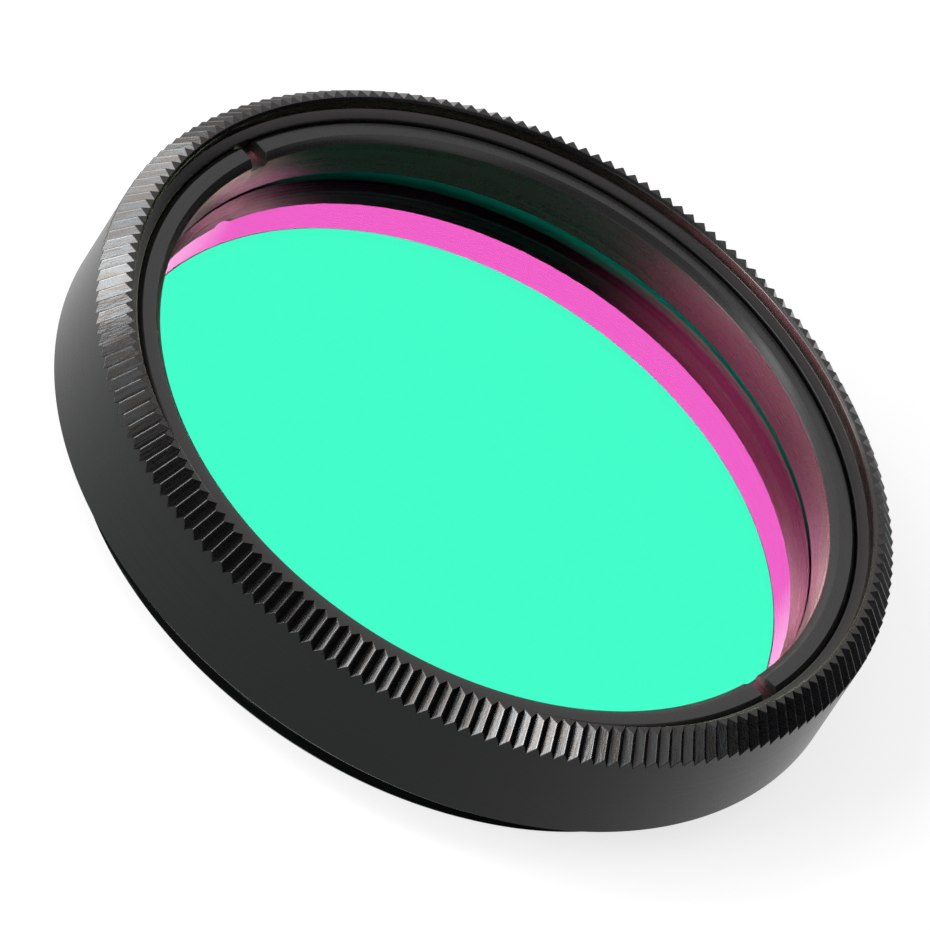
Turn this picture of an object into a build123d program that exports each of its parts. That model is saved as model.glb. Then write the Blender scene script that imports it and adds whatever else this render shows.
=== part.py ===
from build123d import *
import math
import os

# Round screw-in optical filter: a turned cell, a coated glass disc and a slotted retaining ring.
# Sizes are in millimetres. The rear end of the cell's thread lies on z = 0, the optical axis is Z,
# and the knurled front rim looks up along +Z.

# Cell, outside: the rear thread sets the size, and the barrel stands proud of it as a shoulder
thread_major = 28.4
thread_length = 1.75
thread_end_chamfer = 0.15
shoulder_width = 1.3
edge_break = 0.08

# Cell, inside: widths of the steps, counted outwards from the rear bore
thread_wall = 1.2
seat_width = 0.75
pocket_step = 0.3
ledge_width = 0.365
rim_width = 0.395

# Cell, inside: heights of the steps
seat_height = 2.09
recess_depth = 0.54
ring_inset = 0.67
pocket_relief = 0.15

# Knurl: straight V-grooves that follow the bevel below the rim and run out on the barrel
tooth_count = 184
bevel_height = 0.786
groove_depth = 0.22
crest_land = 0.02

# Glass disc
glass_thickness = 1.85
glass_clearance = 0.05
glass_chamfer = 0.1

# Retaining ring: it screws down onto the glass
ring_height = 1.89
ring_width = 0.96
ring_clearance = 0.03
ring_lead_in_width = 0.27
ring_lead_in_depth = 0.24
ring_outer_chamfer = 0.19
ring_foot_chamfer = 0.1
slot_width = 0.8
slot_depth = 0.45
slot_azimuths = (-18.1, 158.2)

# Radii and heights that follow from the sizes above
thread_radius = thread_major / 2
barrel_radius = thread_radius + shoulder_width
bore_radius = thread_radius - thread_wall
pocket_radius = bore_radius + seat_width
ring_thread_radius = pocket_radius + pocket_step
recess_radius = ring_thread_radius + ledge_width
rim_radius = recess_radius + rim_width
glass_radius = pocket_radius - glass_clearance
ring_radius = ring_thread_radius - ring_clearance
ring_bore_radius = ring_radius - ring_width
glass_top = seat_height + glass_thickness
pocket_top = glass_top - pocket_relief
ring_top = glass_top + ring_height
cell_height = ring_top + ring_inset
recess_floor = cell_height - recess_depth
bevel_foot = cell_height - bevel_height


def turned(corners, chamfers):
    """Solid of revolution about Z from (radius, height) corners; chamfers gives the broken ones."""
    with BuildSketch(Plane.XZ) as profile:
        with BuildLine():
            Polyline(*corners, close=True)
        make_face()
        for (radius, height), size in chamfers:
            corner = profile.vertices().sort_by_distance(Vector(radius, 0, height))[0]
            chamfer(corner, length=size)
    return revolve(profile.sketch, axis=Axis.Z)


def cell_blank():
    """Cell as it leaves the lathe, before its bevel is knurled."""
    bore_mouth = (bore_radius, 0)
    thread_end = (thread_radius, 0)
    shoulder_edge = (barrel_radius, thread_length)
    rim_edge = (recess_radius, cell_height)
    seat_edge = (bore_radius, seat_height)
    outside = [
        bore_mouth,
        thread_end,
        (thread_radius, thread_length),
        shoulder_edge,
        (barrel_radius, bevel_foot),
        (rim_radius, cell_height),
    ]
    inside = [
        rim_edge,
        (recess_radius, recess_floor),
        (ring_thread_radius, recess_floor),
        (ring_thread_radius, pocket_top),
        (pocket_radius, pocket_top),
        (pocket_radius, seat_height),
        seat_edge,
    ]
    chamfers = [
        (thread_end, thread_end_chamfer),
        (bore_mouth, edge_break),
        (shoulder_edge, edge_break),
        (rim_edge, edge_break),
        (seat_edge, edge_break),
    ]
    return turned(outside + inside, chamfers)


def groove_cutter():
    """V-shaped prism at azimuth 0 whose root lies groove_depth under the bevel, parallel to it."""
    upslope = Vector(rim_radius - barrel_radius, 0, bevel_height).normalized()
    outward = Vector(upslope.Z, 0, -upslope.X)
    slant_length = (barrel_radius - rim_radius) / -upslope.X
    # the root leaves the barrel this far below the bevel, and the rim's plane this far above it
    barrel_run_out = groove_depth * outward.X / -upslope.X
    rim_run_out = groove_depth * outward.Z / upslope.Z
    end_margin = groove_depth
    cutter_length = end_margin + barrel_run_out + slant_length + rim_run_out + end_margin
    bevel_foot_point = Vector(barrel_radius, 0, bevel_foot)
    start = bevel_foot_point - outward * groove_depth - upslope * (barrel_run_out + end_margin)
    # neighbouring grooves leave a narrow crest between them at the rim
    rim_pitch = 2 * math.pi * rim_radius / tooth_count
    half_width = (rim_pitch - crest_land) / 2
    overshoot = 1.5
    section = Plane(origin=start, x_dir=(0, -1, 0), z_dir=upslope)
    corners = [
        (0, 0),
        (half_width * overshoot, groove_depth * overshoot),
        (-half_width * overshoot, groove_depth * overshoot),
    ]
    return extrude(section * Polygon(*corners, align=None), cutter_length, dir=upslope)


def make_cell():
    """One-piece cell with its knurled bevel."""
    cutter = groove_cutter()
    grooves = [Rot(0, 0, 360 * i / tooth_count) * cutter for i in range(tooth_count)]
    return cell_blank() - grooves


def make_glass():
    """Flat coated disc that lies on the seat inside its pocket."""
    foot = (glass_radius, seat_height)
    top = (glass_radius, glass_top)
    corners = [(0, seat_height), foot, top, (0, glass_top)]
    return turned(corners, [(foot, glass_chamfer), (top, glass_chamfer)])


def make_ring():
    """Ring that clamps the glass, with two nearly opposite spanner slots across its top face."""
    foot = (ring_bore_radius, glass_top)
    top = (ring_radius, ring_top)
    corners = [
        foot,
        (ring_radius, glass_top),
        top,
        (ring_bore_radius + ring_lead_in_width, ring_top),
        (ring_bore_radius, ring_top - ring_lead_in_depth),
    ]
    ring = turned(corners, [(foot, ring_foot_chamfer), (top, ring_outer_chamfer)])
    # each cutter runs radially, from inside the bore to outside the ring
    slot_cutter = Box(
        ring_radius,
        slot_width,
        2 * slot_depth,
        align=(Align.MIN, Align.CENTER, Align.MIN),
    )
    slot_start = Pos(ring_bore_radius / 2, 0, ring_top - slot_depth)
    return ring - [Rot(0, 0, azimuth) * slot_start * slot_cutter for azimuth in slot_azimuths]


os.makedirs("parts", exist_ok=True)
export_step(make_cell(), "parts/cell.step")
export_step(make_glass(), "parts/filter_glass.step")
export_step(make_ring(), "parts/retaining_ring.step")
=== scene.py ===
import math
import random

import bmesh
import bpy
from mathutils import Matrix, Vector


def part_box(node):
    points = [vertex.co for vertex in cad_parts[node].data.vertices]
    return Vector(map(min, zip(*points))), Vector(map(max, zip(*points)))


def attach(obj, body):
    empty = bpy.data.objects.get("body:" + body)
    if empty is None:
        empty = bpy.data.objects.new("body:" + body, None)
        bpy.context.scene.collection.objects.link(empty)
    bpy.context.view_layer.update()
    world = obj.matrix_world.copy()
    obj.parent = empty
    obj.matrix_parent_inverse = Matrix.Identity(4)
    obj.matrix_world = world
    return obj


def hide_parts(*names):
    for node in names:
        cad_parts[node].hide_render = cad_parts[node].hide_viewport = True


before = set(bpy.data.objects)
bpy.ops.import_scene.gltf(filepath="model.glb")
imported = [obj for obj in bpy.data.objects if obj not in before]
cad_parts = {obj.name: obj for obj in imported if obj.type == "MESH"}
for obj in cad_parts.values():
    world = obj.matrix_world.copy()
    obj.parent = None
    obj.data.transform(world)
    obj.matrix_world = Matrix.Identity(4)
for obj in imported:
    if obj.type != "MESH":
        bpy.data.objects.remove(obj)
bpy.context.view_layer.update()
mm = 0.001

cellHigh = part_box("cell")[1]
glassLow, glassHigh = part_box("filter_glass")
ringLow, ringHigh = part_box("retaining_ring")
print("frame loaded")


# Turned shapes: a profile is a list of points, each a radius and a height

def roundedProfile(corners, steps=3):
    # a corner is (radius, height, fillet); the line is open and its ends stay sharp
    line = []
    for index, (r, z, fillet) in enumerate(corners):
        here = Vector((r, z))
        inner = 0 < index < len(corners) - 1
        if not inner or fillet == 0:
            line.append(here)
            continue
        before = (Vector(corners[index - 1][:2]) - here).normalized()
        after = (Vector(corners[index + 1][:2]) - here).normalized()
        start = here + before * fillet
        end = here + after * fillet
        for step in range(steps + 1):
            t = step / steps
            line.append(start * (1 - t) ** 2 + here * 2 * t * (1 - t) + end * t ** 2)
    return line


def polarVert(bm, radius, height, angle):
    return bm.verts.new((radius * math.cos(angle), radius * math.sin(angle), height))


def joinRows(bm, lower, upper):
    count = len(lower)
    for column in range(count):
        following = (column + 1) % count
        bm.faces.new((lower[column], lower[following], upper[following], upper[column]))


def profileRows(bm, line, columns, firstRow=None):
    # one row of vertices for each point of the line, joined into a skin
    rows = [] if firstRow is None else [firstRow]
    for point in line:
        rows.append([polarVert(bm, point.x, point.y, math.tau * column / columns)
                     for column in range(columns)])
    for before, after in zip(rows, rows[1:]):
        joinRows(bm, before, after)
    return rows


def smoothed(mesh, sharpAngle):
    for polygon in mesh.polygons:
        polygon.use_smooth = True
    mesh.set_sharp_from_angle(angle=math.radians(sharpAngle))


def finishMesh(name, bm, sharpAngle=32.0):
    bmesh.ops.recalc_face_normals(bm, faces=bm.faces)
    mesh = bpy.data.meshes.new(name)
    bm.to_mesh(mesh)
    bm.free()
    smoothed(mesh, sharpAngle)
    piece = bpy.data.objects.new(name, mesh)
    bpy.context.scene.collection.objects.link(piece)
    return piece


# Shader nodes

def asColor(color):
    # red, green and blue get their alpha; another node's output stays as it is
    return color if isinstance(color, bpy.types.NodeSocket) else (*color, 1)


def put(tree, kind, inputs=None, **settings):
    # adds a node; an input is a value or another node's output
    node = tree.nodes.new(kind)
    for name, value in settings.items():
        setattr(node, name, value)
    for key, value in (inputs or {}).items():
        if isinstance(value, bpy.types.NodeSocket):
            tree.links.new(value, node.inputs[key])
        else:
            node.inputs[key].default_value = value
    return node


def calc(tree, operation, *values):
    return put(tree, "ShaderNodeMath", dict(enumerate(values)), operation=operation).outputs[0]


def remap(tree, value, fromLow, fromHigh, toLow=0.0, toHigh=1.0):
    limits = {"From Min": fromLow, "From Max": fromHigh, "To Min": toLow, "To Max": toHigh}
    return put(tree, "ShaderNodeMapRange", {"Value": value, **limits}).outputs[0]


def noise(tree, place, scale, detail):
    sockets = {"Vector": place, "Scale": scale, "Detail": detail}
    return put(tree, "ShaderNodeTexNoise", sockets).outputs["Fac"]


def mixColor(tree, factor, first, second):
    sockets = {"Factor": factor, "A": asColor(first), "B": asColor(second)}
    return put(tree, "ShaderNodeMix", sockets, data_type="RGBA").outputs["Result"]


def mixShader(tree, factor, first, second):
    return put(tree, "ShaderNodeMixShader", {0: factor, 1: first, 2: second}).outputs[0]


def glow(tree, color, strength=1.0):
    return put(tree, "ShaderNodeEmission", {"Color": asColor(color), "Strength": strength}).outputs[0]


def objectPlace(tree):
    return put(tree, "ShaderNodeTexCoord").outputs["Object"]


def objectParts(tree):
    # x, y and z on the piece
    return put(tree, "ShaderNodeSeparateXYZ", {0: objectPlace(tree)}).outputs


def polarCoordinates(tree):
    # radius, angle and height about the optical axis
    x, y, height = objectParts(tree)
    squares = calc(tree, "ADD", calc(tree, "POWER", x, 2.0), calc(tree, "POWER", y, 2.0))
    return calc(tree, "SQRT", squares), calc(tree, "ARCTAN2", y, x), height


def newGroup(name, inputs, outputs):
    group = bpy.data.node_groups.new(name, "ShaderNodeTree")
    for label, default in inputs.items():
        socket = group.interface.new_socket(label, in_out="INPUT", socket_type="NodeSocketFloat")
        socket.default_value = default
    for label in outputs:
        group.interface.new_socket(label, in_out="OUTPUT", socket_type="NodeSocketFloat")
    return group, put(group, "NodeGroupInput").outputs, put(group, "NodeGroupOutput").inputs


def nodeMaterial(name):
    material = bpy.data.materials.new(name)
    material.use_nodes = True
    return material, material.node_tree, material.node_tree.nodes["Principled BSDF"]


def toSurface(tree, shader):
    tree.links.new(shader, tree.nodes["Material Output"].inputs["Surface"])


# Black anodising over turned metal, shared by the cell, the ring and the ring's slots; the slots'
# darker copy is painted shade

anodising = {
    "aroundRate": 0.7,  # how fast the tool's rings change around the axis
    "reliefGrain": 0.5,
    # tool rings and grain together give the tone, which moves colour and roughness
    "ringShare": 0.6,
    "grainShare": 0.4,
    "toneRange": (0.35, 0.65),
    "roughnessSwing": 0.04,
}


def makeTurningGroup():
    # fine rings left by the lathe tool, and the satin grain of the anodising over them
    group, inputs, outputs = newGroup(
        "turningMarks", {"Pitch": 0.05 * mm, "Grain": 0.04 * mm}, ["Rings", "Grain", "Height"])
    radius, angle, height = polarCoordinates(group)
    across = calc(group, "DIVIDE", radius, inputs["Pitch"])
    along = calc(group, "DIVIDE", height, inputs["Pitch"])
    around = calc(group, "MULTIPLY", angle, anodising["aroundRate"])
    turned = put(group, "ShaderNodeCombineXYZ", {0: across, 1: along, 2: around}).outputs[0]
    rings = noise(group, turned, 1.0, 2.0)
    grain = noise(group, objectPlace(group), calc(group, "DIVIDE", 1.0, inputs["Grain"]), 3.0)
    group.links.new(rings, outputs["Rings"])
    group.links.new(grain, outputs["Grain"])
    grainRelief = calc(group, "MULTIPLY", grain, anodising["reliefGrain"])
    group.links.new(calc(group, "ADD", rings, grainRelief), outputs["Height"])
    return group


turningGroup = makeTurningGroup()


def anodised(name, look, dress=None):
    # dress changes the colour and the relief before they reach the shader
    material, tree, shader = nodeMaterial(name)
    sizes = {"Pitch": look["markPitch"], "Grain": look["grain"]}
    marks = put(tree, "ShaderNodeGroup", sizes, node_tree=turningGroup).outputs
    rings = calc(tree, "MULTIPLY", marks["Rings"], anodising["ringShare"])
    tone = calc(tree, "ADD", rings, calc(tree, "MULTIPLY", marks["Grain"], anodising["grainShare"]))
    color = mixColor(tree, remap(tree, tone, *anodising["toneRange"]), look["dark"], look["light"])
    swing = anodising["roughnessSwing"]
    limits = (*anodising["toneRange"], look["roughness"] - swing, look["roughness"] + swing)
    height = marks["Height"]
    if dress:
        color, height = dress(tree, shader, color, height)
    bump = put(tree, "ShaderNodeBump", {"Strength": 1.0, "Distance": look["relief"], "Height": height})
    shader.inputs["IOR"].default_value = look["ior"]
    shader.inputs["Specular IOR Level"].default_value = look["gloss"]
    tree.links.new(color, shader.inputs["Base Color"])
    tree.links.new(remap(tree, tone, *limits), shader.inputs["Roughness"])
    tree.links.new(bump.outputs[0], shader.inputs["Normal"])
    return material


print("shared finish made")


# The cell: knurled bevel, barrel, rear thread and the stepped inside

cell = {
    # rim and knurl
    "teeth": 184,
    "rimRadius": 14.81 * mm,
    "bevelHeight": 0.786 * mm,
    "grooveDepth": 0.22 * mm,
    "crestLand": 0.03 * mm,
    "grooveJitter": 0.010 * mm,
    "runOutJitter": 0.03 * mm,
    "jitterSeed": 31,
    "runOutMargin": 0.12 * mm,
    "edgeBreak": 0.11 * mm,
    "edgeFillet": 0.033 * mm,
    # inside
    "recessRadius": 14.415 * mm,
    "recessFloor": 5.96 * mm,
    "recessFillet": 0.02 * mm,
    "ledgeFall": 0.12 * mm,
    "ledgeFillet": 0.05 * mm,
    "ringThreadRadius": 14.05 * mm,
    "pocketRadius": 13.75 * mm,
    "pocketTop": 3.79 * mm,
    "pocketFillet": 0.04 * mm,
    "innerFillet": 0.03 * mm,
    "boreRadius": 13.0 * mm,
    "seatFillet": 0.07 * mm,
    # rear thread
    "threadRadius": 14.2 * mm,
    "threadLength": 1.75 * mm,
    "threadPitch": 0.6 * mm,
    "threadDepth": 0.33 * mm,
    "threadRows": 64,
    "threadChamfer": 0.25 * mm,
    "threadFade": 0.3 * mm,
    "threadNeck": 0.35,  # plain neck before the shoulder, as a share of the fade
    "startStep": 0.01 * mm,
    "shoulderStep": 0.02 * mm,
    # anodising
    "dark": (0.0022, 0.0029, 0.0031),
    "light": (0.0042, 0.0050, 0.0052),
    "roughness": 0.28,
    "markPitch": 0.05 * mm,
    "grain": 0.05 * mm,
    "relief": 0.0005 * mm,
    "ior": 1.5,
    "gloss": 0.19,
    # bare metal of the knurl and the rim
    "rim": (0.056, 0.052, 0.051),
    "flank": (0.062, 0.064, 0.066),
    "flankStain": (0.056, 0.052, 0.049),
    "worn": (0.12, 0.12, 0.12),
    "wear": 0.7,
    "streak": 0.055 * mm,
    "streakStretch": 6.0,
    "streakHeight": 14.0,
    "stainScale": 0.35,
    "stainRange": (0.4, 0.6),
    # where that metal fades in: radius, height, below the flat top, inside the barrel, under the bevel
    "knurlInside": (14.45 * mm, 14.50 * mm),
    "knurlFoot": (5.30 * mm, 5.42 * mm),
    "belowTop": (-0.012 * mm, -0.004 * mm),
    "belowBarrel": (-0.008 * mm, -0.02 * mm),
    "belowBevel": (-0.03 * mm, -0.005 * mm),
    "rimFade": 0.2 * mm,
}


def addInside(bm, columns):
    # from the rim down to the rear bore's mouth
    top = cellHigh.z
    edge = cell["edgeBreak"]
    floor = cell["recessFloor"]
    inner = cell["innerFillet"]
    return profileRows(bm, roundedProfile([
        (cell["recessRadius"] + edge, top, 0),
        (cell["recessRadius"], top - edge, cell["edgeFillet"]),
        (cell["recessRadius"], floor, cell["recessFillet"]),
        (cell["ringThreadRadius"], floor - cell["ledgeFall"], cell["ledgeFillet"]),
        (cell["ringThreadRadius"], cell["pocketTop"], inner),
        (cell["pocketRadius"], cell["pocketTop"], cell["pocketFillet"]),
        (cell["pocketRadius"], glassLow.z, inner),
        (cell["boreRadius"], glassLow.z, cell["seatFillet"]),
        (cell["boreRadius"], 0, edge),
        (cell["threadRadius"] - cell["threadChamfer"] - cell["startStep"], 0, 0),
    ]), columns)


def threadRadiusAt(angle, height):
    # 60 degree thread with a crest an eighth of the pitch wide; it starts with a chamfer
    # and fades out before the shoulder
    phase = (height / cell["threadPitch"] - angle / math.tau) % 1.0
    fromCrest = abs(phase - 0.5) * cell["threadPitch"]
    crestHalf = cell["threadPitch"] / 16
    depth = min(max((fromCrest - crestHalf) * math.sqrt(3), 0), cell["threadDepth"])
    toShoulder = (cell["threadLength"] - height) / cell["threadFade"]
    depth *= min(max(toShoulder - cell["threadNeck"], 0), 1)
    start = cell["threadRadius"] - max(cell["threadChamfer"] - height, 0)
    return min(cell["threadRadius"] - depth, start)


def addThread(bm, columns, mouthRow):
    # from its chamfered start up to the shoulder
    lastRow = mouthRow
    for index in range(cell["threadRows"] + 1):
        height = cell["threadLength"] * index / cell["threadRows"]
        row = []
        for column in range(columns):
            angle = math.tau * column / columns
            row.append(polarVert(bm, threadRadiusAt(angle, height), height, angle))
        joinRows(bm, lastRow, row)
        lastRow = row
    return lastRow


def grooveRoot():
    # where a groove's root leaves the rim, passes the bevel's foot and runs out on the barrel
    slant = Vector((cellHigh.x - cell["rimRadius"], -cell["bevelHeight"]))
    down = slant.normalized()
    outward = Vector((cell["bevelHeight"], slant.x)).normalized()
    rootTop = Vector((cell["rimRadius"], cellHigh.z)) - outward * cell["grooveDepth"]
    rootTop = rootTop - down * ((cellHigh.z - rootTop.y) / -down.y)
    rootFoot = Vector((cellHigh.x, cellHigh.z - cell["bevelHeight"])) - outward * cell["grooveDepth"]
    runOut = rootFoot.y + down.y * ((cellHigh.x - rootFoot.x) / down.x)
    return rootTop, rootFoot, runOut


def addBarrel(bm, columns, threadRow, runOut):
    # shoulder and barrel, up to where the grooves run out
    edge = cell["edgeBreak"]
    line = [
        Vector((cell["threadRadius"] + cell["shoulderStep"], cell["threadLength"])),
        Vector((cellHigh.x - edge, cell["threadLength"])),
        Vector((cellHigh.x, cell["threadLength"] + edge)),
        Vector((cellHigh.x, runOut - cell["runOutMargin"])),
    ]
    return profileRows(bm, line, columns, threadRow)[-1]


def addKnurl(bm, rimRow, barrelRow, rootTop, rootFoot, runOut):
    # per tooth a groove root, and a crest with a narrow land
    top = cellHigh.z
    barrelRadius = cellHigh.x
    bevelFoot = top - cell["bevelHeight"]
    teeth = cell["teeth"]
    pitch = math.tau / teeth
    landAngle = cell["crestLand"] / 2 / cell["rimRadius"]
    rng = random.Random(cell["jitterSeed"])
    roots, crests, mids = [], [], []
    for tooth in range(teeth):
        angle = tooth * pitch
        shift = rng.uniform(-1, 1) * cell["grooveJitter"]
        drop = rng.uniform(-1, 1) * cell["runOutJitter"]
        rootAngle = angle + rng.uniform(-1, 1) * cell["grooveJitter"] / barrelRadius
        roots.append((
            polarVert(bm, rootTop.x + shift, top, rootAngle),
            polarVert(bm, rootFoot.x + shift, rootFoot.y, rootAngle),
            polarVert(bm, barrelRadius, runOut + drop, rootAngle),
        ))
        crestAngle = angle + pitch / 2
        crests.append((
            polarVert(bm, cell["rimRadius"], top, crestAngle - landAngle),
            polarVert(bm, cell["rimRadius"], top, crestAngle + landAngle),
            polarVert(bm, barrelRadius, bevelFoot, crestAngle - landAngle),
            polarVert(bm, barrelRadius, bevelFoot, crestAngle + landAngle),
        ))
        mids.append(polarVert(bm, barrelRadius, runOut, crestAngle))
    for tooth in range(teeth):
        following = (tooth + 1) % teeth
        rootHigh, rootLow, apex = roots[tooth]
        nextHigh, nextLow, nextApex = roots[following]
        leftHigh, rightHigh, leftLow, rightLow = crests[tooth]
        mid = mids[tooth]
        rimRoot, rimCrest = rimRow[2 * tooth], rimRow[2 * tooth + 1]
        lowRoot, lowCrest = barrelRow[2 * tooth], barrelRow[2 * tooth + 1]
        rimNext, lowNext = rimRow[2 * following], barrelRow[2 * following]
        for corners in (
            # flat top of the tooth
            (rimRoot, rootHigh, leftHigh, rimCrest),
            (rimCrest, leftHigh, rightHigh),
            (rimCrest, rightHigh, nextHigh, rimNext),
            # flanks and crest
            (rootHigh, rootLow, leftLow, leftHigh),
            (leftHigh, leftLow, rightLow, rightHigh),
            (rightHigh, rightLow, nextLow, nextHigh),
            # pointed ends on the barrel
            (rootLow, apex, leftLow),
            (rightLow, nextApex, nextLow),
            (leftLow, apex, mid),
            (leftLow, mid, rightLow),
            (rightLow, mid, nextApex),
            # band down to the barrel
            (apex, lowRoot, lowCrest, mid),
            (mid, lowCrest, lowNext, nextApex),
        ):
            bm.faces.new(corners)


def buildCell():
    bm = bmesh.new()
    columns = 2 * cell["teeth"]
    insideRows = addInside(bm, columns)
    threadRow = addThread(bm, columns, insideRows[-1])
    rootTop, rootFoot, runOut = grooveRoot()
    barrelRow = addBarrel(bm, columns, threadRow, runOut)
    addKnurl(bm, insideRows[0], barrelRow, rootTop, rootFoot, runOut)
    return finishMesh("cellBody", bm)


def makeKnurlGroup():
    # where the knurl is, how near to its crests a point lies, and the streaks of the knurling tool
    group, inputs, outputs = newGroup(
        "knurlMarks", {"Streak": cell["streak"]}, ["Mask", "Rim", "Crest", "Streaks", "Stain"])
    radius, angle, height = polarCoordinates(group)
    slantRun = cellHigh.x - cell["rimRadius"]
    slantLength = math.hypot(slantRun, cell["bevelHeight"])
    # depth is 0 on the bevel and negative under it
    fromRim = calc(group, "SUBTRACT", radius, cell["rimRadius"])
    fromRim = calc(group, "MULTIPLY", fromRim, cell["bevelHeight"] / slantLength)
    fromTop = calc(group, "SUBTRACT", height, cellHigh.z)
    depth = calc(group, "ADD", fromRim, calc(group, "MULTIPLY", fromTop, slantRun / slantLength))
    beyondRecess = remap(group, radius, *cell["knurlInside"])
    aboveFoot = remap(group, height, *cell["knurlFoot"])
    onTop = remap(group, height, *(cellHigh.z + below for below in cell["belowTop"]))
    inGroove = remap(group, radius, *(cellHigh.x + below for below in cell["belowBarrel"]))
    mask = calc(group, "MULTIPLY", beyondRecess, aboveFoot)
    mask = calc(group, "MULTIPLY", mask, calc(group, "SUBTRACT", 1.0, onTop))
    mask = calc(group, "MULTIPLY", mask, inGroove)
    crest = calc(group, "MULTIPLY", remap(group, depth, *cell["belowBevel"]), mask)
    # streaks run down the bevel, much longer than they are wide
    streakLength = calc(group, "MULTIPLY", inputs["Streak"], cell["streakStretch"])
    across = calc(group, "DIVIDE", calc(group, "MULTIPLY", angle, cellHigh.x), inputs["Streak"])
    along = calc(group, "DIVIDE", height, streakLength)
    place = put(group, "ShaderNodeCombineXYZ", {0: across, 1: along}).outputs[0]
    streaks = noise(group, place, 1.0, 3.0)
    stain = noise(group, place, cell["stainScale"], 1.0)
    floor = cell["recessFloor"]
    group.links.new(mask, outputs["Mask"])
    group.links.new(remap(group, height, floor - cell["rimFade"], floor), outputs["Rim"])
    group.links.new(crest, outputs["Crest"])
    group.links.new(calc(group, "MULTIPLY", streaks, mask), outputs["Streaks"])
    group.links.new(remap(group, stain, *cell["stainRange"]), outputs["Stain"])
    return group


def knurled(tree, shader, color, height):
    # bare metal on the rim and the flanks, brighter where the crests are worn
    knurl = put(tree, "ShaderNodeGroup", node_tree=makeKnurlGroup()).outputs
    color = mixColor(tree, knurl["Rim"], color, cell["rim"])
    flank = mixColor(tree, knurl["Stain"], cell["flank"], cell["flankStain"])
    color = mixColor(tree, knurl["Mask"], color, flank)
    color = mixColor(tree, calc(tree, "MULTIPLY", knurl["Crest"], cell["wear"]), color, cell["worn"])
    tree.links.new(calc(tree, "MAXIMUM", knurl["Mask"], knurl["Rim"]), shader.inputs["Metallic"])
    streaks = calc(tree, "MULTIPLY", knurl["Streaks"], cell["streakHeight"])
    return color, calc(tree, "ADD", height, streaks)


cellPiece = buildCell()
cellPiece.data.materials.append(anodised("anodisedCell", cell, knurled))
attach(cellPiece, "root")
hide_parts("cell")
print("cell built")


# The ring that clamps the glass, with two spanner slots

retainer = {
    "columns": 360,
    "boreRadius": 13.06 * mm,
    "leadInWidth": 0.27 * mm,
    "leadInDepth": 0.24 * mm,
    "outerChamfer": 0.19 * mm,
    "footChamfer": 0.1 * mm,
    "slotWidth": 0.8 * mm,
    "slotDepth": 0.45 * mm,
    "slotAzimuths": (-18.1, 158.2),
    "slotCutLength": 4 * mm,
    "edgeRound": 0.02 * mm,
    "roundedFrom": 35,
    "sharpFrom": 25,
    # a slot's face lies deeper than the skin, and is steep or in the slot's lower part
    "skin": 0.03 * mm,
    "steepBelow": 0.3,
    "lowerPart": 0.6,
    "look": {
        "dark": (0.010, 0.009, 0.0088),
        "light": (0.015, 0.0135, 0.013),
        "roughness": 0.29,
        "markPitch": 0.04 * mm,
        "grain": 0.05 * mm,
        "relief": 0.0003 * mm,
        "ior": 1.5,
        "gloss": 0.5,
    },
    # darker and less glossy than the ring's look: the darker colour is painted shade in the slots
    "slotShadeLook": {
        "dark": (0.005, 0.005, 0.005),
        "light": (0.008, 0.008, 0.008),
        "roughness": 0.45,
        "markPitch": 0.04 * mm,
        "grain": 0.05 * mm,
        "relief": 0.0003 * mm,
        "ior": 1.5,
        "gloss": 0.03,
    },
}


def turnRing():
    bm = bmesh.new()
    bore = retainer["boreRadius"]
    chamfer = retainer["outerChamfer"]
    foot = retainer["footChamfer"]
    line = [
        Vector((bore + foot, ringLow.z)),
        Vector((ringHigh.x, ringLow.z)),
        Vector((ringHigh.x, ringHigh.z - chamfer)),
        Vector((ringHigh.x - chamfer, ringHigh.z)),
        Vector((bore + retainer["leadInWidth"], ringHigh.z)),
        Vector((bore, ringHigh.z - retainer["leadInDepth"])),
        Vector((bore, ringLow.z + foot)),
    ]
    rows = profileRows(bm, line, retainer["columns"])
    joinRows(bm, rows[-1], rows[0])
    return finishMesh("retainingRing", bm)


def makeSlotBoxes():
    bm = bmesh.new()
    boxSize = (retainer["slotCutLength"], retainer["slotWidth"], 2 * retainer["slotDepth"], 1)
    place = Matrix.Translation((ringHigh.x, 0, ringHigh.z))
    for azimuth in retainer["slotAzimuths"]:
        turn = Matrix.Rotation(math.radians(azimuth), 4, "Z")
        bmesh.ops.create_cube(bm, size=1.0, matrix=turn @ place @ Matrix.Diagonal(boxSize))
    return finishMesh("slotCutter", bm)


def markSlotFaces(mesh):
    # walls and floors of the slots get the second, darker material: painted shade in the slots
    skin = retainer["skin"]
    lowerPart = ringHigh.z - retainer["lowerPart"] * retainer["slotDepth"]
    for polygon in mesh.polygons:
        middle = polygon.center
        betweenWalls = retainer["boreRadius"] + skin < middle.xy.length < ringHigh.x - skin
        betweenFaces = ringLow.z + skin < middle.z < ringHigh.z - skin
        steepOrLow = abs(polygon.normal.z) < retainer["steepBelow"] or middle.z < lowerPart
        polygon.material_index = 1 if betweenWalls and betweenFaces and steepOrLow else 0


def buildRing():
    # the slots are cut, and all edges get a fine round that catches the light
    piece = turnRing()
    slotBoxes = makeSlotBoxes()
    cut = piece.modifiers.new("slots", "BOOLEAN")
    cut.object = slotBoxes
    cut.operation = "DIFFERENCE"
    cut.solver = "EXACT"
    soften = piece.modifiers.new("edges", "BEVEL")
    soften.width = retainer["edgeRound"]
    soften.segments = 2
    soften.limit_method = "ANGLE"
    soften.angle_limit = math.radians(retainer["roundedFrom"])
    depsgraph = bpy.context.evaluated_depsgraph_get()
    mesh = bpy.data.meshes.new_from_object(piece.evaluated_get(depsgraph))
    piece.modifiers.clear()
    piece.data = mesh
    bpy.data.objects.remove(slotBoxes)
    markSlotFaces(mesh)
    smoothed(mesh, retainer["sharpFrom"])
    return piece


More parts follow.
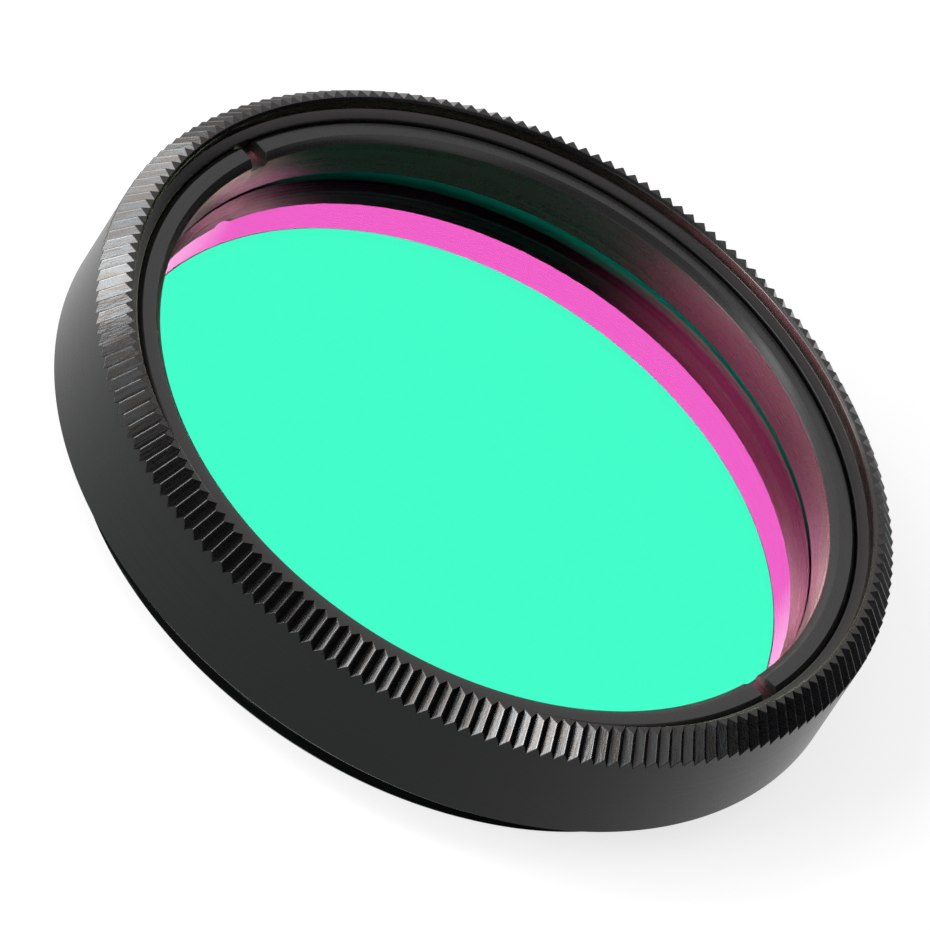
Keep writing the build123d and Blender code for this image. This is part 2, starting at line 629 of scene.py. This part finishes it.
ringPiece = buildRing()
ringPiece.data.materials.clear()
ringPiece.data.materials.append(anodised("anodisedRing", retainer["look"]))
ringPiece.data.materials.append(anodised("anodisedSlotShade", retainer["slotShadeLook"]))
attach(ringPiece, "root")
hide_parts("retaining_ring")
print("ring built")


# The coated glass disc with its ground edge

disc = {
    "columns": 256,
    "chamfer": 0.1 * mm,
    "ior": 1.5,
    "mint": (0.0, 0.99, 0.575),
    "mintDeep": (0.0, 0.985, 0.57),
    "patch": 12 * mm,
    "reflection": (1.0, 0.0, 0.65),
    "groundPaintedLight": (0.20, 0.21, 0.26),
    "groundPaintedShade": (0.012, 0.014, 0.016),
    "groundPaintedRise": 0.75 * mm,  # the ground edge's painted light rises over this height
    "groundGrain": 0.06 * mm,
    "groundMottle": (0.3, 0.7, 0.85, 1.0),
    "groundRoughness": 0.7,
}


def buildGlass():
    bm = bmesh.new()
    chamfer = disc["chamfer"]
    line = [
        Vector((glassHigh.x - chamfer, glassLow.z)),
        Vector((glassHigh.x, glassLow.z + chamfer)),
        Vector((glassHigh.x, glassHigh.z - chamfer)),
        Vector((glassHigh.x - chamfer, glassHigh.z)),
    ]
    rows = profileRows(bm, line, disc["columns"])
    for face in bm.faces:
        face.material_index = 1  # the ground edge
    bm.faces.new(rows[0])
    bm.faces.new(rows[-1])
    return finishMesh("glassDisc", bm)


def coatedGlass():
    # tinted where light passes, with a coloured mirror image
    material, tree, shader = nodeMaterial("coatedGlass")
    patches = noise(tree, objectPlace(tree), 1 / disc["patch"], 1.0)
    color = mixColor(tree, patches, disc["mint"], disc["mintDeep"])
    tree.links.new(color, shader.inputs["Base Color"])
    shader.inputs["Roughness"].default_value = 0.0
    shader.inputs["IOR"].default_value = disc["ior"]
    shader.inputs["Transmission Weight"].default_value = 1.0
    shader.inputs["Specular Tint"].default_value = asColor(disc["reflection"])
    return material


def groundGlass():
    # the disc's edge is ground; its colour turns light towards the top, a painted glow of the light
    # that comes in through the glass
    material, tree, shader = nodeMaterial("groundGlass")
    grain = noise(tree, objectPlace(tree), 1 / disc["groundGrain"], 2.0)
    # painted light: dark at the bottom of the edge, light higher up, mottled by the grain
    paintedLit = remap(tree, objectParts(tree)[2], glassLow.z, glassLow.z + disc["groundPaintedRise"])
    paintedLit = calc(tree, "MULTIPLY", paintedLit, remap(tree, grain, *disc["groundMottle"]))
    color = mixColor(tree, paintedLit, disc["groundPaintedShade"], disc["groundPaintedLight"])
    tree.links.new(color, shader.inputs["Base Color"])
    shader.inputs["Roughness"].default_value = disc["groundRoughness"]
    return material


glassPiece = buildGlass()
glassPiece.data.materials.append(coatedGlass())
glassPiece.data.materials.append(groundGlass())
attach(glassPiece, "root")
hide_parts("filter_glass")
print("glass built")


# Camera, at the photograph's angle

shot = {
    "aim": Vector((-0.17, -3.07, 5.83)) * mm,
    "distance": 732.4 * mm,
    "elevation": 40.36,
    "roll": 33.19,
    "lens": 803.0,
    "sensor": 36.0,
    "clip": (0.01, 20.0),
}


def placeCamera():
    camera = bpy.data.objects.new("camera", bpy.data.cameras.new("camera"))
    bpy.context.scene.collection.objects.link(camera)
    tilt = Matrix.Rotation(math.radians(90 - shot["elevation"]), 4, "X")
    roll = Matrix.Rotation(math.radians(shot["roll"]), 4, "Z")
    back = Matrix.Translation((0, 0, shot["distance"]))
    camera.matrix_world = Matrix.Translation(shot["aim"]) @ tilt @ back @ roll
    camera.data.lens = shot["lens"]
    camera.data.sensor_width = shot["sensor"]
    camera.data.clip_start, camera.data.clip_end = shot["clip"]
    bpy.context.scene.camera = camera


placeCamera()
print("camera placed")


# Floor, white surroundings and lamps

studio = {
    "floorSize": 3.0,
    "floorColor": 0.50,
    "floorLift": 0.70,
    "mirroredPaintedShade": 0.55,
    "domeLight": 0.45,
    # name, direction, distance, width and height, radiance
    "lamps": (
        ("keyLeft", (-0.97, -0.16, 0.21), 0.40, (0.10, 0.17), 8.5),
        ("keyFrontLeft", (-0.86, -0.45, 0.23), 0.40, (0.15, 0.17), 5.2),
        ("keyFront", (-0.58, -0.77, 0.27), 0.40, (0.15, 0.17), 13.0),
        ("keyUpper", (-0.60, -0.30, 0.74), 0.45, (0.15, 0.15), 5.0),
    ),
}


def buildFloor():
    bm = bmesh.new()
    bmesh.ops.create_grid(bm, x_segments=1, y_segments=1, size=studio["floorSize"])
    floor = finishMesh("floor", bm)
    material, tree, shader = nodeMaterial("floorWhite")
    shader.inputs["Base Color"].default_value = asColor([studio["floorColor"]] * 3)
    shader.inputs["Roughness"].default_value = 1.0
    shader.inputs["Specular IOR Level"].default_value = 0.0
    path = put(tree, "ShaderNodeLightPath").outputs
    # through the glass the camera sees plain white, and a mirror image there sees the lit floor, dimmed
    # by a painted shade
    straight = calc(tree, "LESS_THAN", path["Glossy Depth"], 0.5)
    behind = calc(tree, "GREATER_THAN", path["Transmission Depth"], 0.5)
    mirrored = calc(tree, "MULTIPLY", behind, calc(tree, "SUBTRACT", 1.0, straight))
    through = calc(tree, "MULTIPLY", path["Is Transmission Ray"], straight)
    seen = calc(tree, "MAXIMUM", path["Is Camera Ray"], path["Is Glossy Ray"])
    seen = calc(tree, "MULTIPLY", seen, calc(tree, "SUBTRACT", 1.0, mirrored))
    lift = glow(tree, (1, 1, 1), calc(tree, "MULTIPLY", seen, studio["floorLift"]))
    lit = put(tree, "ShaderNodeAddShader", {0: shader.outputs[0], 1: lift}).outputs[0]
    # painted shade: black mixed into the floor where a mirror image sees it through the glass
    paintedShade = calc(tree, "MULTIPLY", mirrored, studio["mirroredPaintedShade"])
    lit = mixShader(tree, paintedShade, lit, glow(tree, (0, 0, 0)))
    toSurface(tree, mixShader(tree, through, lit, glow(tree, (1, 1, 1))))
    floor.data.materials.append(material)


def buildWorld():
    # white to the camera, in mirror images and through the glass; plain soft light on the part
    world = bpy.data.worlds.new("studio")
    bpy.context.scene.world = world
    world.use_nodes = True
    tree = world.node_tree
    path = put(tree, "ShaderNodeLightPath").outputs
    seen = calc(tree, "MAXIMUM", path["Is Camera Ray"], path["Is Glossy Ray"])
    seen = calc(tree, "MAXIMUM", seen, path["Is Transmission Ray"])
    background = tree.nodes["Background"].inputs
    background["Color"].default_value = (1, 1, 1, 1)
    tree.links.new(remap(tree, seen, 0.0, 1.0, studio["domeLight"], 1.0), background["Strength"])


def softbox(name, direction, distance, size, radiance):
    lamp = bpy.data.lights.new(name, "AREA")
    lamp.shape = "RECTANGLE"
    lamp.size, lamp.size_y = size
    lamp.energy = radiance * math.pi * size[0] * size[1]
    holder = bpy.data.objects.new(name, lamp)
    toLamp = Vector(direction).normalized()
    holder.location = toLamp * distance
    holder.rotation_euler = toLamp.to_track_quat("Z", "Y").to_euler()
    bpy.context.scene.collection.objects.link(holder)


buildFloor()
buildWorld()
for lampSettings in studio["lamps"]:
    softbox(*lampSettings)
print("floor, surroundings and lamps set")


# Cards that show only in mirror images: dark flags, and the lights of the coating and the bore

def sweepAngles(azimuths, steps=48):
    first, last = azimuths
    return [math.radians(first + (last - first) * step / steps) for step in range(steps + 1)]


def cardBetween(name, lower, upper):
    # a card spanned between two rows of points
    bm = bmesh.new()
    lowerRow = [bm.verts.new(point) for point in lower]
    upperRow = [bm.verts.new(point) for point in upper]
    for step in range(len(lowerRow) - 1):
        bm.faces.new((lowerRow[step], lowerRow[step + 1], upperRow[step + 1], upperRow[step]))
    return finishMesh(name, bm)


def domePatch(name, azimuths, elevations, radius):
    # a patch of a dome about the part, between two azimuths and two elevations in degrees
    rows = []
    for elevation in elevations:
        height = radius * math.sin(math.radians(elevation))
        reach = radius * math.cos(math.radians(elevation))
        rows.append([(reach * math.cos(angle), reach * math.sin(angle), height)
                     for angle in sweepAngles(azimuths)])
    return cardBetween(name, *rows)


def hangCard(card, material, shader, mirrors=()):
    # mirrors are the pieces that may show the card; with none named, all may
    toSurface(material.node_tree, shader)
    material.cycles.emission_sampling = "NONE"
    card.data.materials.append(material)
    card.visible_camera = False
    card.visible_diffuse = False
    card.visible_transmission = False
    card.visible_volume_scatter = False
    card.visible_shadow = False
    if mirrors:
        receivers = bpy.data.collections.new(card.name + "Mirrors")
        for piece in mirrors:
            receivers.objects.link(piece)
        card.light_linking.receiver_collection = receivers


flags = {
    "radius": 450 * mm,
    # name, azimuths, elevations, colour
    "cards": (
        ("flagRight", (-78, 62), (0, 38), (0.02, 0.022, 0.03)),
        ("flagTop", (-150, -40), (38, 80), (0.05, 0.06, 0.10)),
    ),
}


def buildFlag(name, azimuths, elevations, color):
    # keeps shaded flanks and chamfers dark
    material, tree = nodeMaterial(name)[:2]
    hangCard(domePatch(name, azimuths, elevations, flags["radius"]), material, glow(tree, color))


coatingCard = {
    "azimuths": (-20, 200),
    "steps": 96,
    "height": 150 * mm,
    "reach": (1.0, 1.45),
    "openingRadius": 13.07 * mm,
    "openingHeight": 0.93 * mm,
    "color": (15.2, 6.3, 13.1),
    "endColor": (18.0, 24.0, 18.5),
    "endFade": (15.4 * mm, 17.0 * mm),
}


def buildCoatingCard():
    # bright card behind the filter; its edge, mirrored in the glass, falls on the rear opening's edge
    eye = bpy.context.scene.camera.location
    mirror = glassHigh.z
    mirroredEye = Vector((eye.x, eye.y, 2 * mirror - eye.z))

    def onCard(radius, angle):
        # from a point on the opening's edge, by way of the glass, to the card
        opening = coatingCard["openingHeight"]
        point = Vector((radius * math.cos(angle), radius * math.sin(angle), opening))
        sight = point - eye
        onGlass = eye + sight * ((mirror - eye.z) / sight.z)
        onward = onGlass - mirroredEye
        return onGlass + onward * (coatingCard["height"] / onward.z)

    rows = []
    angles = sweepAngles(coatingCard["azimuths"], coatingCard["steps"])
    for reach in coatingCard["reach"]:
        rows.append([onCard(coatingCard["openingRadius"] * reach, angle) for angle in angles])
    card = cardBetween("coatingCard", *rows)
    material, tree = nodeMaterial("coatingCard")[:2]
    path = put(tree, "ShaderNodeLightPath").outputs
    direct = calc(tree, "LESS_THAN", path["Transmission Depth"], 0.5)  # not through the glass
    sideways = calc(tree, "ABSOLUTE", objectParts(tree)[0])
    toEnd = remap(tree, sideways, *coatingCard["endFade"])
    color = mixColor(tree, toEnd, coatingCard["color"], coatingCard["endColor"])
    hangCard(card, material, glow(tree, color, direct), [glassPiece])


boreCard = {
    "radius": 300 * mm,
    "elevations": (24, 56),
    "strength": 60.0,
    # azimuth and the tint of the light there
    "tints": (
        (34.0, (0.0, 0.0, 0.0)),
        (42.0, (0.60, 0.80, 0.45)),
        (60.0, (0.50, 0.66, 0.38)),
        (66.0, (0.0, 0.0, 0.0)),
        (104.0, (0.0, 0.0, 0.0)),
        (114.0, (0.70, 0.86, 0.48)),
        (136.0, (0.60, 0.62, 0.44)),
        (158.0, (0.50, 0.26, 0.26)),
        (176.0, (0.55, 0.22, 0.26)),
        (205.0, (0.95, 0.30, 0.43)),
        (232.0, (1.0, 0.32, 0.44)),
        (250.0, (0.45, 0.16, 0.20)),
        (264.0, (0.0, 0.0, 0.0)),
    ),
}


def buildBoreCard():
    # lights the ring's bore by way of the glass only: it shows in the second mirror image
    tints = boreCard["tints"]
    first, last = tints[0][0], tints[-1][0]
    card = domePatch("boreCard", (first, last), boreCard["elevations"], boreCard["radius"])
    material, tree = nodeMaterial("boreCard")[:2]
    path = put(tree, "ShaderNodeLightPath").outputs
    second = calc(tree, "GREATER_THAN", path["Glossy Depth"], 1.5)
    direct = calc(tree, "LESS_THAN", path["Transmission Depth"], 0.5)
    x, y = objectParts(tree)[:2]
    turn = calc(tree, "DEGREES", calc(tree, "ARCTAN2", y, x))
    turn = calc(tree, "FLOORED_MODULO", turn, 360.0)
    ramp = put(tree, "ShaderNodeValToRGB", {0: remap(tree, turn, first, last)})
    stops = ramp.color_ramp.elements
    while len(stops) < len(tints):
        stops.new(0.5)
    for stop, (azimuth, tint) in zip(stops, tints):
        stop.position = (azimuth - first) / (last - first)
        stop.color = asColor(tint)
    shown = calc(tree, "MULTIPLY", second, direct)
    clear = put(tree, "ShaderNodeBsdfTransparent").outputs[0]
    light = glow(tree, ramp.outputs[0], boreCard["strength"])
    hangCard(card, material, mixShader(tree, shown, clear, light), [glassPiece, ringPiece])


for flagSettings in flags["cards"]:
    buildFlag(*flagSettings)
buildCoatingCard()
buildBoreCard()
print("cards hung")

bpy.context.scene.view_settings.view_transform = "Standard"
